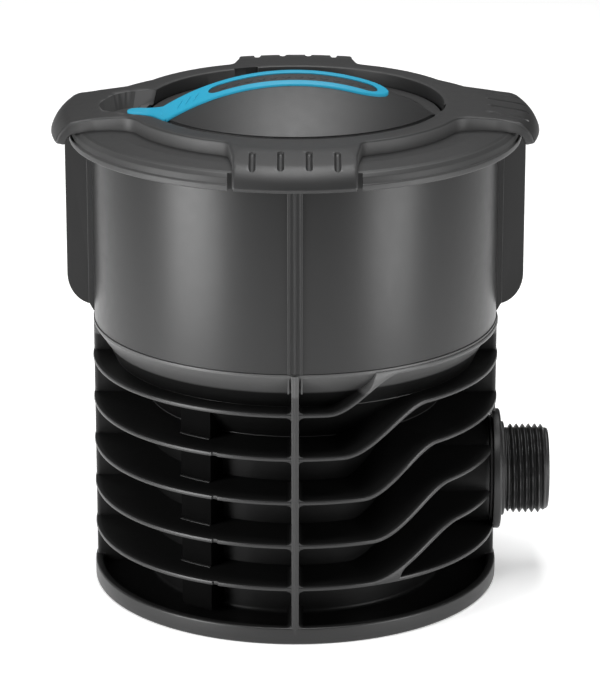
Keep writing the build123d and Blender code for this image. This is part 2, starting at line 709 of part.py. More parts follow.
with BuildPart() as lid_screws:
    with BuildSketch(Plane.XY.offset(PLATE_UNDER)) as shanks:
        with PolarLocations(LID_SCREW_R, 4, start_angle=LID_SCREW_ANGLE):
            Circle(SCREW_R)
    extrude(shanks.sketch, amount=6.4)
    with BuildSketch(Plane.XY.offset(PLATE_UNDER)) as heads:
        with PolarLocations(LID_SCREW_R, 4, start_angle=LID_SCREW_ANGLE):
            Circle(2.0)
    extrude(heads.sketch, amount=-1.8)
save(lid_screws, "lid_screws")

with BuildPart() as lid_gasket:
    ring(SHELL_TOP, PLATE_UNDER, 58.6, 54.0)
save(lid_gasket, "lid_gasket")


# ---------------------------------------------------------------- hatch


def ball(radius, centre_z):
    """A sphere on the Z axis, kept apart from the part being built."""
    return Sphere(radius, mode=Mode.PRIVATE).moved(Location((0, 0, centre_z)))


def column(radius, low, high):
    """A round column on the Z axis, kept apart from the part being built."""
    centre = (low + high) / 2
    return Cylinder(radius, high - low, mode=Mode.PRIVATE).moved(Location((0, 0, centre)))


def block(low, high):
    """A box between two corners, kept apart from the part being built."""
    sizes = [b - a for a, b in zip(low, high)]
    centre = tuple((a + b) / 2 for a, b in zip(low, high))
    return Box(*sizes, mode=Mode.PRIVATE).moved(Location(centre))


bowl_centre = BOWL_BOTTOM + BOWL_R
dome_front = block((-60, -60, 141), (60, RIDGE_Y, 170))
dome_shell = (
    ball(DOME_R, DOME_CENTRE_Z) - ball(DOME_R - DOME_WALL, DOME_CENTRE_Z)
) & column(HATCH_R, 141, 170) & dome_front
inner_column = column(HATCH_R - HATCH_NECK_WALL + 0.8, BOWL_BOTTOM, NECK_TOP + 1)
ridge_wall = (
    block((-60, RIDGE_Y - DOME_WALL, BOWL_BOTTOM), (60, RIDGE_Y, 170))
    & ball(DOME_R, DOME_CENTRE_Z)
    & (inner_column + column(HATCH_R, NECK_TOP, 170))
)
bowl_back = block((-60, RIDGE_Y - 1, 125), (60, 60, NECK_TOP))
bowl_shell = (
    ball(BOWL_R + DOME_WALL, bowl_centre) - ball(BOWL_R, bowl_centre)
) & column(HATCH_R - HATCH_NECK_WALL + 0.8, 125, NECK_TOP) & bowl_back

strip_ball = ball(DOME_R + STRIP_T, DOME_CENTRE_Z)

with BuildPart() as strip_column:
    with BuildSketch(Plane.XY.offset(140)) as strip_plan:
        with BuildLine():
            left_top = Vector(STRIP_LEFT_X, RIDGE_Y)
            left_low = Vector(STRIP_LEFT_X + 0.6, RIDGE_Y - STRIP_W)
            right_low = Vector(STRIP_RIGHT_X - 5.0, RIDGE_Y - STRIP_W)
            right_tip = Vector(STRIP_RIGHT_X, RIDGE_Y - 3.4)
            right_top = Vector(STRIP_RIGHT_X - 3.0, RIDGE_Y)
            Line(left_top, left_low)
            Line(left_low, right_low)
            ThreePointArc(right_low, Vector(STRIP_RIGHT_X - 1.0, RIDGE_Y - 6.6), right_tip)
            ThreePointArc(right_tip, Vector(STRIP_RIGHT_X - 0.7, RIDGE_Y - 1.0), right_top)
            Line(right_top, left_top)
        make_face()
    extrude(strip_plan.sketch, amount=30)

with BuildPart() as inlay_column:
    with BuildSketch(Plane.XY.offset(140)) as inlay_plan:
        with Locations(INLAY_CENTRE):
            SlotOverall(INLAY_L, INLAY_W)
    extrude(inlay_plan.sketch, amount=30)

with BuildPart() as pull_tab:
    with BuildSketch(Plane.XY.offset(TAB_Z[0])) as tab:
        with BuildLine():
            Polyline(
                (-36.4, -7.0), (-47.6, -7.4), (-47.4, -14.4), (-40.7, -16.9), (-36.4, -23.2),
                close=True,
            )
        make_face()
        fillet(tab.vertices().sort_by(Axis.X)[:2], radius=2.6)
    extrude(tab.sketch, amount=TAB_Z[1] - TAB_Z[0])
    with BuildSketch(Plane.XY.offset(TAB_Z[0])) as elbow:
        with BuildLine():
            Polyline((-40.0, RIDGE_Y), (-40.2, -16.9), (-36.2, -23.2), (-36.2, RIDGE_Y), close=True)
        make_face()
    extrude(elbow.sketch, amount=6)
    add(strip_ball, mode=Mode.INTERSECT)

with BuildPart() as hatch_cover:
    turned([
        (HATCH_R - HATCH_NECK_WALL, HATCH_BOTTOM), (HATCH_R, HATCH_BOTTOM),
        (HATCH_R, 135.4), (40.4, 135.4), (40.4, 137.6), (HATCH_R, 137.6), (HATCH_R, 143.9),
        (HATCH_R - HATCH_NECK_WALL, 143.9),
    ])
    bar(NECK_TOP, 146.0, (-50, 50), (RIDGE_Y, 50), Mode.SUBTRACT)
    for third in range(3):
        ring_segment(*HATCH_LUG_Z, HATCH_LUG_R, HATCH_R - 0.6, HATCH_LUG_ANGLE + 120 * third, 8)
    add(dome_shell)
    add(ridge_wall)
    add(bowl_shell)
    add(pull_tab.part, mode=Mode.SUBTRACT)
save(hatch_cover, "hatch_cover")

with BuildPart() as hatch_gasket:
    torus(136.5, 41.52, 1.04)
save(hatch_gasket, "hatch_gasket")

strip_shell = ball(DOME_R + STRIP_T, DOME_CENTRE_Z) - ball(DOME_R, DOME_CENTRE_Z)
inlay_shell = strip_ball - ball(DOME_R + STRIP_T - INLAY_T, DOME_CENTRE_Z)

with BuildPart() as handle_inlay:
    add(inlay_shell & inlay_column.part)
save(handle_inlay, "handle_inlay")

with BuildPart() as hatch_handle:
    add(pull_tab.part)
    add(strip_shell & strip_column.part)
    add(handle_inlay.part, mode=Mode.SUBTRACT)
save(hatch_handle, "hatch_handle")
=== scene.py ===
import bpy
import bmesh
from math import asin, atan2, cos, degrees, hypot, pi, radians, sin, sqrt, tan
from mathutils import Matrix, Vector


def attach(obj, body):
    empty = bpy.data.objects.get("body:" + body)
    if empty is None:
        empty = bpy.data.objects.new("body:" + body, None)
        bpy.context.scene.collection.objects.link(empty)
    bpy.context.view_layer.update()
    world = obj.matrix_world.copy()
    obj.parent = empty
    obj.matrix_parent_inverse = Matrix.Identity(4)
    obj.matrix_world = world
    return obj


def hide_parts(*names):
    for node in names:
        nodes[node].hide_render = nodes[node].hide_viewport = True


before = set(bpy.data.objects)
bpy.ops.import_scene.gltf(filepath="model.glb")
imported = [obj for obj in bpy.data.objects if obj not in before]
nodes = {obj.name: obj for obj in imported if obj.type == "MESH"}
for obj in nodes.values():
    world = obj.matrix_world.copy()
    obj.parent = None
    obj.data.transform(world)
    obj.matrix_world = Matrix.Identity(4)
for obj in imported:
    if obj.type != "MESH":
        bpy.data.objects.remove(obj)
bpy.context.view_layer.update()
MM = 0.001

# ------------------------------------------------------------------ sizes, in millimetres

FOOT_R = 59.6
CORE_R = 42.6
FIN_R = 59.3
FIN_T = 1.3
FIN_LEVELS = (68.6, 55.7, 42.7, 29.6, 16.8)
FIN_RISE = (10.6, 12.9, 12.9, 12.9, 12.9)
WAVE_START = (9.0, 13.0, 18.7, 21.7, 20.9)
WAVE_SPAN = (21.0, 26.3, 24.5, 27.0, 31.7)
SHELL_R = 58.7
SEAM_Z = 80.6
SHELL_TOP = 134.55
PORT_Z = 31.9
OPENING_R = 42.7
RING_R = 49.8
RING_TOP = 144.0
PLATE_TOP = 139.95
DOME_R = 72.1
DOME_Z = 85.9
HATCH_R = 42.2
RIDGE_Y = -14.5
BOWL_R = 109.4
BOWL_Z = 242.9
NECK_TOP = 140.2
THREAD_PITCH = 1.814
THREAD_ROOT = 12.05
THREAD_CREST = 13.2
NOZZLE_BORE = 9.8


# ------------------------------------------------------------------ materials


def node_material(name):
    material = bpy.data.materials.new(name)
    material.use_nodes = True
    tree = material.node_tree
    return material, tree, tree.nodes["Principled BSDF"]


def linked(tree, kind, inputs=None, **settings):
    """A node with its settings, and its inputs either set or linked."""
    made = tree.nodes.new(kind)
    for key, value in settings.items():
        setattr(made, key, value)
    for key, value in (inputs or {}).items():
        if isinstance(value, bpy.types.NodeSocket):
            tree.links.new(value, made.inputs[key])
        else:
            made.inputs[key].default_value = value
    return made


def ramp(tree, value, start, stop, low=0.0, high=1.0):
    """Maps start to stop onto low to high, and holds the ends outside."""
    ends = {"Value": value, "From Min": start, "From Max": stop, "To Min": low, "To Max": high}
    return linked(tree, "ShaderNodeMapRange", ends).outputs["Result"]


def calc(tree, operation, one, two=0.0):
    return linked(tree, "ShaderNodeMath", {0: one, 1: two}, operation=operation).outputs[0]


def both(tree, one, two):
    return calc(tree, "MULTIPLY", one, two)


def span(tree, value, low, high, soft=0.2):
    """1 where a length lies between low and high millimetres, 0 outside."""
    rise = ramp(tree, value, (low - soft) * MM, low * MM)
    fall = ramp(tree, value, (high + soft) * MM, high * MM)
    return both(tree, rise, fall)


def blend(tree, share, one, two):
    """Colour between one and two."""
    made = linked(tree, "ShaderNodeMix", {"Factor": share, "A": one, "B": two}, data_type="RGBA")
    return made.outputs["Result"]


def cloudy(tree, place, scale, detail, roughness=0.5):
    ends = {"Vector": place, "Scale": scale, "Detail": detail, "Roughness": roughness}
    return linked(tree, "ShaderNodeTexNoise", ends).outputs["Fac"]


def bumped(tree, bsdf, height, strength, distance):
    made = linked(tree, "ShaderNodeBump", {"Height": height, "Strength": strength, "Distance": distance})
    tree.links.new(made.outputs["Normal"], bsdf.inputs["Normal"])


def shaded(colour, factor, lift=0.0):
    """A colour made lighter or darker by a factor."""
    return tuple(min(1.0, c * factor + lift) for c in colour) + (1.0,)


def neutral(value):
    return (value, value, value, 1.0)


def axis_distance(tree, split):
    """Distance from the upright axis."""
    squares = [calc(tree, "POWER", split[axis], 2.0) for axis in ("X", "Y")]
    return calc(tree, "SQRT", calc(tree, "ADD", *squares))


def with_painted_wall_light(tree, colour, radius, height, pale):
    """Paints light onto the upright walls of the raised ring, and a little onto the plate's outer edge, as a
    paler grey.
    """
    normal = linked(tree, "ShaderNodeNewGeometry").outputs["Normal"]
    facing = linked(tree, "ShaderNodeSeparateXYZ", {"Vector": normal}).outputs["Z"]
    upright = ramp(tree, facing, 0.6, 0.3)
    ring = both(tree, span(tree, radius, 48.7, 63.0, 4.0), span(tree, height, 140.0, 144.5, 1.5))
    rim = both(tree, span(tree, radius, 63.0, 65.6), span(tree, height, 134.0, 139.2))
    # Painted light: full strength on the ring's upright walls, 0.3 of it on the plate's outer lip.
    lit = calc(tree, "MAXIMUM", both(tree, upright, ring), both(tree, rim, 0.3))
    return blend(tree, lit, colour, neutral(pale))


def with_painted_bay_shade(tree, bsdf, colour, radius, height, specular):
    """Keeps the base colour on the fin edges and foot edge, and paints shade into the bays behind them:
    near-black and dull. The collar gets painted light.
    """
    fin_edges = ramp(tree, radius, 0.0578, 0.0592)
    foot = calc(tree, "MINIMUM", ramp(tree, height, 0.0056, 0.0048), ramp(tree, radius, 0.0566, 0.0571))
    open_parts = calc(tree, "MAXIMUM", fin_edges, foot)
    # Painted light: the collar under the shell is lifted to a paler 0.05 grey.
    collar = ramp(tree, height, 0.0738, 0.0745)
    # Painted shade: the bays get a 0.0055 grey and less gloss than the fin edges, foot edge and collar.
    gloss = ramp(tree, calc(tree, "MAXIMUM", open_parts, collar), 0.0, 1.0, 0.14, specular)
    tree.links.new(gloss, bsdf.inputs["Specular IOR Level"])
    return blend(tree, collar, blend(tree, open_parts, neutral(0.0055), colour), neutral(0.05))


def moulded(
    name, colour, roughness=0.42, grain=0.06, mottle=0.16, edge_highlight_share=0.5, specular=0.5, edge_highlight_gain=0.8,
    painted_bay_shade=False, painted_wall_light=None,
):
    """Moulded plastic with a fine grain, slow mottling and painted highlights on its edges."""
    material, tree, bsdf = node_material(name)
    place = linked(tree, "ShaderNodeTexCoord").outputs["Object"]
    split = linked(tree, "ShaderNodeSeparateXYZ", {"Vector": place}).outputs
    radius = axis_distance(tree, split)
    edge = linked(tree, "ShaderNodeNewGeometry").outputs["Pointiness"]
    slow = cloudy(tree, place, 38.0, 5.0, 0.6)
    tone = blend(tree, slow, shaded(colour, 1 - mottle), shaded(colour, 1 + mottle))
    # Painted highlight: edges found by Pointiness get a lighter colour, standing in for light caught on them.
    highlight_tone = shaded(colour, 1 + edge_highlight_gain, 0.007 * edge_highlight_gain)
    tone = blend(tree, ramp(tree, edge, 0.52, 0.62, 0.0, edge_highlight_share), tone, highlight_tone)
    bsdf.inputs["Specular IOR Level"].default_value = specular
    if painted_wall_light:
        tone = with_painted_wall_light(tree, tone, radius, split["Z"], painted_wall_light)
    if painted_bay_shade:
        tone = with_painted_bay_shade(tree, bsdf, tone, radius, split["Z"], specular)
    tree.links.new(tone, bsdf.inputs["Base Color"])
    rough = ramp(tree, cloudy(tree, place, 320.0, 3.0), 0.0, 1.0, roughness - 0.05, roughness + 0.05)
    tree.links.new(rough, bsdf.inputs["Roughness"])
    bumped(tree, bsdf, cloudy(tree, place, 2600.0, 2.0), grain, 0.0002)
    return material


def metal(name, colour, roughness=0.3, weave=0.0):
    """Stainless steel, brushed, or woven as a strainer mesh."""
    material, tree, bsdf = node_material(name)
    place = linked(tree, "ShaderNodeTexCoord").outputs["Object"]
    streak = linked(tree, "ShaderNodeMapping", {"Vector": place, "Scale": (900.0, 900.0, 60.0)})
    height = cloudy(tree, streak.outputs["Vector"], 1.0, 3.0)
    tone = blend(tree, height, shaded(colour, 0.8), shaded(colour, 1.0))
    bsdf.inputs["Metallic"].default_value = 1.0
    bsdf.inputs["Roughness"].default_value = roughness
    if weave:
        split = linked(tree, "ShaderNodeSeparateXYZ", {"Vector": place}).outputs
        angle = calc(tree, "ARCTAN2", split["Y"], split["X"])
        warp = calc(tree, "SINE", both(tree, angle, weave * 0.015))
        weft = calc(tree, "SINE", both(tree, split["Z"], weave))
        height = calc(tree, "MAXIMUM", warp, weft)
        tone = blend(tree, ramp(tree, height, -0.4, 0.1), neutral(0.03), tone)
    tree.links.new(tone, bsdf.inputs["Base Color"])
    bumped(tree, bsdf, height, 0.25, 0.0001)
    return material


CHARCOAL = (0.010, 0.010, 0.0101)
LID_BLACK = (0.011, 0.011, 0.0112)
GREY = moulded("grey_moulding", CHARCOAL, roughness=0.34, specular=0.38)
BASE = moulded("base_moulding", CHARCOAL, roughness=0.4, painted_bay_shade=True)
LID = moulded("lid_moulding", LID_BLACK, roughness=0.5, grain=0.1, edge_highlight_share=0.8, edge_highlight_gain=3.0, painted_wall_light=0.07)
PLATE = moulded("plate_moulding", LID_BLACK, roughness=0.5, grain=0.1, edge_highlight_share=0.0, painted_wall_light=0.07)
# A lighter grey than the base: painted highlight for the thin beads and column ledges.
LEDGE_HIGHLIGHT = moulded("ledge_highlight_moulding", (0.03, 0.03, 0.03), roughness=0.3)
WING = moulded("wing_moulding", CHARCOAL, specular=0.3)
# Near-black with little gloss: painted shade for the spacer columns deep in the bays.
COLUMN_SHADE = moulded("column_shade_moulding", (0.002, 0.002, 0.002), roughness=0.7, specular=0.03, edge_highlight_share=0.0)
BLACK = moulded("black_moulding", (0.008, 0.008, 0.0082))
INNER = moulded("inner_moulding", (0.06, 0.06, 0.062), roughness=0.38)
BLUE = moulded("blue_moulding", (0.013, 0.25, 0.39), roughness=0.45, mottle=0.06, edge_highlight_share=0.1, specular=0.25)
INLAY = moulded("inlay_moulding", (0.014, 0.015, 0.016), roughness=0.55, grain=0.3, specular=0.3)
RUBBER = moulded("seal_rubber", (0.012, 0.012, 0.012), roughness=0.6, grain=0.15)
STEEL = metal("spring_steel", (0.62, 0.62, 0.63))
MESH = metal("strainer_mesh_steel", (0.6, 0.6, 0.58), roughness=0.35, weave=9000.0)

CAD_FINISH = {
    "inlet_gasket": RUBBER, "inlet_oring": RUBBER, "lid_gasket": RUBBER, "hatch_gasket": RUBBER,
    "head_oring": RUBBER, "plug_seal": RUBBER, "valve_washer": RUBBER,
    "body_screws": STEEL, "lid_screws": STEEL, "grip_ring": STEEL, "collar_spring": STEEL,
    "valve_spring": STEEL, "strainer_mesh": MESH, "release_collar": BLUE,
    "socket_head": INNER, "head_cap": INNER, "strainer_frame": INNER, "valve_plunger": INNER,
}
for name, cad in nodes.items():
    cad.data.materials.clear()
    cad.data.materials.append(CAD_FINISH.get(name, BLACK))
    weld = cad.modifiers.new("weld", "WELD")
    weld.merge_threshold = 2e-6
    edge = cad.modifiers.new("edge", "BEVEL")
    edge.width = 0.15 * MM
    edge.segments = 2
    edge.limit_method = "ANGLE"
    edge.angle_limit = radians(35)
    edge.harden_normals = True


# ------------------------------------------------------------------ mesh helpers


def fillet_outline(corners, steps=5):
    """Rounds an outline's corners; each corner is (a, b, radius)."""
    points = []
    count = len(corners)
    for index, (x, y, radius) in enumerate(corners):
        here = Vector((x, y))
        if radius <= 0:
            points.append(here)
            continue
        before = Vector(corners[index - 1][:2]) - here
        after = Vector(corners[(index + 1) % count][:2]) - here
        turn = before.angle(after)
        if turn > radians(178):
            points.append(here)
            continue
        reach = min(radius / tan(turn / 2), before.length * 0.48, after.length * 0.48)
        radius = reach * tan(turn / 2)
        before.normalize()
        after.normalize()
        centre = here + (before + after).normalized() * (radius / sin(turn / 2))
        start = here + before * reach - centre
        end = here + after * reach - centre
        for step in range(steps + 1):
            share = step / steps
            angle = start.angle(end)
            mix = (start * sin((1 - share) * angle) + end * sin(share * angle)) / sin(angle)
            points.append(centre + mix)
    return points


class Skin:
    """Gathers rings of points into one mesh; all lengths are in millimetres."""

    def __init__(self):
        self.points = []
        self.faces = []

    def ring(self, points):
        first = len(self.points)
        self.points.extend(Vector(p) for p in points)
        return list(range(first, len(self.points)))

    def bridge(self, one, two, closed=True):
        count = len(one)
        for index in range(count if closed else count - 1):
            following = (index + 1) % count
            self.faces.append((one[index], one[following], two[following], two[index]))

    def cap(self, ring, flip=False):
        self.faces.append(tuple(reversed(ring)) if flip else tuple(ring))

    def loop(self, sections, closed=True):
        """Joins a row of equal sections; a closed row joins its last section to its first."""
        rings = [self.ring(section) for section in sections]
        for one, two in zip(rings, rings[1:]):
            self.bridge(one, two)
        if closed:
            self.bridge(rings[-1], rings[0])
        else:
            self.cap(rings[0], flip=True)
            self.cap(rings[-1])
        return rings

    def lathe(self, outline, segments=192, centre=None):
        """Turns a closed (r, z) outline about the Z axis, or about centre's own frame."""
        sections = []
        for step in range(segments):
            angle = 2 * pi * step / segments
            section = [Vector((p[0] * cos(angle), p[0] * sin(angle), p[1])) for p in outline]
            sections.append([centre @ p for p in section] if centre else section)
        self.loop(sections)

    def slab(self, outline, low, high, place=None):
        """A straight column over a closed plan outline."""
        bottom = [Vector((p[0], p[1], low)) for p in outline]
        top = [Vector((p[0], p[1], high)) for p in outline]
        if place:
            bottom = [place @ p for p in bottom]
            top = [place @ p for p in top]
        one, two = self.ring(bottom), self.ring(top)
        self.bridge(one, two)
        self.cap(one, flip=True)
        self.cap(two)

    def build(self, name, material, body=None, replaces=(), crease=32.0):
        mesh = bpy.data.meshes.new(name)
        mesh.from_pydata([p * MM for p in self.points], [], self.faces)
        work = bmesh.new()
        work.from_mesh(mesh)
        bmesh.ops.remove_doubles(work, verts=work.verts, dist=1e-7)
        bmesh.ops.dissolve_degenerate(work, dist=1e-7, edges=work.edges)
        bmesh.ops.recalc_face_normals(work, faces=work.faces)
        work.to_mesh(mesh)
        work.free()
        piece = bpy.data.objects.new(name, mesh)
        bpy.context.scene.collection.objects.link(piece)
        mesh.materials.append(material)
        finish_shading(mesh, crease)
        if body:
            settle(piece, body, replaces)
        return piece


def finish_shading(mesh, crease=32.0):
    mesh.polygons.foreach_set("use_smooth", [True] * len(mesh.polygons))
    mesh.set_sharp_from_angle(angle=radians(crease))
    mesh.update()


def settle(piece, body, replaces=()):
    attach(piece, body)
    if replaces:
        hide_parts(*replaces)


def bevel(piece, width, segments=3, angle=30.0):
    made = piece.modifiers.new("bevel", "BEVEL")
    made.width = width * MM
    made.segments = segments
    made.limit_method = "ANGLE"
    made.angle_limit = radians(angle)
    made.miter_outer = "MITER_ARC"


def cut(piece, tool):
    made = piece.modifiers.new("cut", "BOOLEAN")
    made.operation = "DIFFERENCE"
    made.solver = "EXACT"
    made.object = tool


def applied(piece, crease=32.0, tools=()):
    """Applies a piece's modifiers and removes the tools that cut it."""
    bpy.context.view_layer.update()
    graph = bpy.context.evaluated_depsgraph_get()
    final = bpy.data.meshes.new_from_object(piece.evaluated_get(graph))
    piece.modifiers.clear()
    old = piece.data
    piece.data = final
    bpy.data.meshes.remove(old)
    for tool in tools:
        bpy.data.objects.remove(tool)
    finish_shading(final, crease)


def polar(radius, theta, z):
    """A point theta degrees from the front, towards the inlet."""
    return Vector((radius * sin(radians(theta)), -radius * cos(radians(theta)), z))


# ------------------------------------------------------------------ ribbed base


def smooth(share):
    share = min(max(share, 0.0), 1.0)
    return share * share * (3 - 2 * share)


def folded(theta):
    """Angle from the front, 0 to 180 on the inlet's side; the fins mirror front to back."""
    theta = (theta + 180) % 360 - 180
    if theta < 0:
        return 0.0
    return 180 - theta if theta > 90 else theta


def wave_share(index, theta):
    """How far a fin has climbed at an angle: 0 at the start of its wave, 1 at the end."""
    return (folded(theta) - WAVE_START[index]) / WAVE_SPAN[index]


def wave(index, theta):
    """Height of a fin's middle at an angle."""
    return FIN_LEVELS[index] + FIN_RISE[index] * smooth(wave_share(index, theta))


def fin_section(theta, low, high, outer=FIN_R):
    """A fin's section: a thin blade whose outer edge is rounded."""
    inner = CORE_R - 1.0
    edge = min(0.5, (high - low) * 0.4)
    root = 0.8
    flat = [
        (inner, low - root), (CORE_R + root, low), (outer - edge, low),
        (outer - edge * 0.3, low + edge * 0.3), (outer, low + edge),
        (outer, high - edge), (outer - edge * 0.3, high - edge * 0.3),
        (outer - edge, high), (CORE_R + root, high), (inner, high + root),
    ]
    return [polar(r, theta, z) for r, z in flat]


def fin_thickness(index, theta):
    """Upright thickness of a fin, which grows where it climbs."""
    share = wave_share(index, theta)
    climb = max(share * (1 - share), 0.0) * 6 * FIN_RISE[index] / radians(WAVE_SPAN[index])
    return FIN_T * sqrt(1 + (climb / FIN_R) ** 2)


def pocket_low(gap, theta, end, run):
    """Share of the gap that a web still fills just past its end: a rounded pocket corner."""
    past = (theta - end) / run
    if past >= 1:
        return 0.0
    return gap * (1 - sqrt(max(0.0, 1 - (1 - past) ** 2)))


def arc_band(skin, inner, outer, low, high, centre_angle, sweep, steps=10):
    """Part of a ring; centre_angle is counted from +X towards +Y."""
    angles = [radians(centre_angle - sweep / 2 + sweep * k / steps) for k in range(steps + 1)]
    plan = [(outer * cos(a), outer * sin(a)) for a in angles]
    plan += [(inner * cos(a), inner * sin(a)) for a in reversed(angles)]
    skin.slab(plan, low, high)


def rib_corner(skin, facing, side, level, rise):
    """Rounded corner between the front rib and a fin, as a short prism towards the core."""
    size = 1.25
    arc = [
        (side * (1.0 + size - size * cos(radians(a))), level + rise * (size - size * sin(radians(a))))
        for a in range(0, 91, 15)
    ]
    outline = [(side * 0.9, level - rise * 0.1), (side * 0.9, level + rise * size)] + arc
    outline.append((side * (1.0 + size), level - rise * 0.1))
    front = skin.ring([facing @ Vector((x, -FIN_R + 0.12, z)) for x, z in outline])
    back = skin.ring([facing @ Vector((x, -CORE_R - 1.0, z)) for x, z in outline])
    skin.bridge(front, back)
    skin.cap(front, flip=True)
    skin.cap(back)


NICK = (-23.4, -21.8)
COLUMN_AT = -125.0
COLUMN_SWEEP = 12.0
WEB_LOW_END = 30.5
WEB_HIGH_START = 22.4
PORT_FLAT_X = 57.1
PORT_FLAT_R = 18.3


def build_base():
    skin = Skin()
    skin.lathe(fillet_outline([
        (0.01, 0, 0), (FOOT_R, 0, 0.8), (FOOT_R, 5.1, 0.6), (57.2, 5.1, 0.5), (57.2, 3.0, 0.6),
        (CORE_R, 3.0, 1.2), (CORE_R, 56.6, 0), (CORE_R + 0.3, 57.0, 0), (52.35, 68.9, 0),
        (52.75, 69.3, 0), (55.0, 74.0, 0.3), (58.95, 79.7, 0.5), (58.95, SEAM_Z - 0.04, 0.1),
        (56.1, SEAM_Z - 0.04, 0), (56.1, 87.6, 0.4), (53.9, 87.6, 0.4), (53.9, 79.6, 0),
        (52.5, 75.0, 0), (50.1, 69.7, 0),
        (40.1, 57.6, 0), (40.1, 3.0, 1.0), (0.01, 3.0, 0),
    ]), 240)
    pot = skin.build("ribbed_base_pot", BASE, crease=28.0)
    tools = Skin()
    along = Matrix.Translation((0, 0, PORT_Z)) @ Matrix.Rotation(radians(90), 4, "Y")
    tools.slab([(13.2 * cos(a * pi / 32), 13.2 * sin(a * pi / 32)) for a in range(64)], 30, 56, along)
    for turn in range(6):
        hole = fillet_outline([(-5.5, -2, 1.9), (5.5, -2, 1.9), (5.5, 2, 1.9), (-5.5, 2, 1.9)])
        place = Matrix.Rotation(radians(30 + 60 * turn), 4, "Z") @ Matrix.Translation((33, 0, 0))
        tools.slab(hole, -2, 4.5, place @ Matrix.Rotation(radians(90), 4, "Z"))
    tool = tools.build("pot_tool", BASE)
    cut(pot, tool)
    applied(pot, 28.0, (tool,))
    settle(pot, "box", ("ribbed_base",))

    fins = Skin()
    for index in range(5):
        sections = []
        theta = -180.0
        while theta < 180.0:
            z = wave(index, theta)
            half = fin_thickness(index, theta) / 2
            at = folded(theta)
            low, high = z - half, z + half
            if index == 4 and at > WAVE_START[4]:
                gap = max(0.0, low - (FIN_LEVELS[4] + FIN_T / 2))
                web_low = FIN_LEVELS[4] - FIN_T / 2
                low = web_low if at < WEB_LOW_END else low - pocket_low(gap, at, WEB_LOW_END, 2.2)
            if index == 0:
                gap = max(0.0, 80.0 - high)
                high += gap if at > WEB_HIGH_START else pocket_low(gap, -at, -WEB_HIGH_START, 2.4)
            reach = fin_reach(theta, low, high)
            if index > 0 and NICK[0] <= theta <= NICK[1]:
                reach -= 0.55
            sections.append(fin_section(theta, low, high, outer=reach))
            if NICK[0] - 1.1 <= theta < NICK[1] + 1.0 or 19.5 < at < 23.0:
                theta += 0.25
            else:
                theta += 1.0 if -2 <= theta <= 180 else 2.0
        fins.loop(sections)
    level = FIN_LEVELS[4]
    fins.loop([
        fin_section(theta, level - FIN_T / 2, level + FIN_T / 2) for theta in range(30, 151)
    ], closed=False)
    for facing, low, high, reach in (
        (0, 3.2, 80.3, FIN_R), (180, 3.2, 80.3, FIN_R), (270, 3.2, 80.3, FIN_R - 0.6),
        (90, 3.2, 13.7, FIN_R - 0.6), (90, 13.7, 50.1, 56.8), (90, 50.1, 80.3, FIN_R - 0.6),
    ):
        plan = fillet_outline([
            (-1.05, -CORE_R + 1, 0), (1.05, -CORE_R + 1, 0), (1.05, -reach - 0.2, 0.35),
            (0.3, -reach - 0.3, 0.1), (0, -reach - 0.4, 0.1), (-0.3, -reach - 0.3, 0.1),
            (-1.05, -reach - 0.2, 0.35),
        ], 3)
        fins.slab(plan, low, high, Matrix.Rotation(radians(facing), 4, "Z"))
    for turn in (0, 180):
        facing = Matrix.Rotation(radians(turn), 4, "Z")
        for side in (-1, 1):
            for level in FIN_LEVELS:
                for rise in (-1, 1):
                    rib_corner(fins, facing, side, level + rise * FIN_T / 2, rise)
            rib_corner(fins, facing, side, 5.1, 1)
            near, far = sorted((side * 1.65, side * 2.1))
            fins.slab([(near, -53.0), (far, -53.0), (far, -58.9), (near, -58.9)], 75.0, 80.3, facing)
    # Thin beads and ledges in a lighter grey: painted highlight lines.
    ledges = Skin()
    for r, z in ((52.62, 69.15), (42.78, 56.9)):
        ledges.lathe([(r + 0.2 * cos(a * pi / 4), z + 0.17 * sin(a * pi / 4)) for a in range(8)], 192)
    # The spacer columns take the near-black material: painted shade.
    columns = Skin()
    for low in (56.2, 43.2, 30.1, 17.3, 4.6):
        arc_band(columns, CORE_R - 0.5, 49.6, low - 0.6, low + 12.4, COLUMN_AT, COLUMN_SWEEP, 8)
        if low > 6:
            arc_band(ledges, 49.0, 50.3, low - 0.2, low + 0.35, COLUMN_AT, COLUMN_SWEEP - 0.4, 8)
    settle(columns.build("base_columns", COLUMN_SHADE, crease=40.0), "box", ())
    settle(ledges.build("base_beads", LEDGE_HIGHLIGHT, crease=40.0), "box", ())
    piece = fins.build("ribbed_base_fins", BASE, crease=28.0)
    settle(piece, "box", ())

    port = Skin()
    boss = fillet_outline([(13.3, 36.2, 0), (15.8, 36.2, 0), (15.8, 57.1, 0.4), (13.3, 57.1, 0.2)])
    port.lathe(boss, 96, along)
    settle(port.build("inlet_boss", BASE), "box", ())


def fin_reach(theta, low, high):
    """Outer radius of a fin; it stops short of the flat round the inlet's flange."""
    side = FIN_R * sin(radians(folded(theta)))
    depth = FIN_R * cos(radians(folded(theta)))
    away = max(low - PORT_Z, PORT_Z - high, 0.0)
    if side <= PORT_FLAT_X or hypot(depth, away) > PORT_FLAT_R:
        return FIN_R
    return PORT_FLAT_X / sin(radians(folded(theta)))


build_base()


# ------------------------------------------------------------------ upper shell


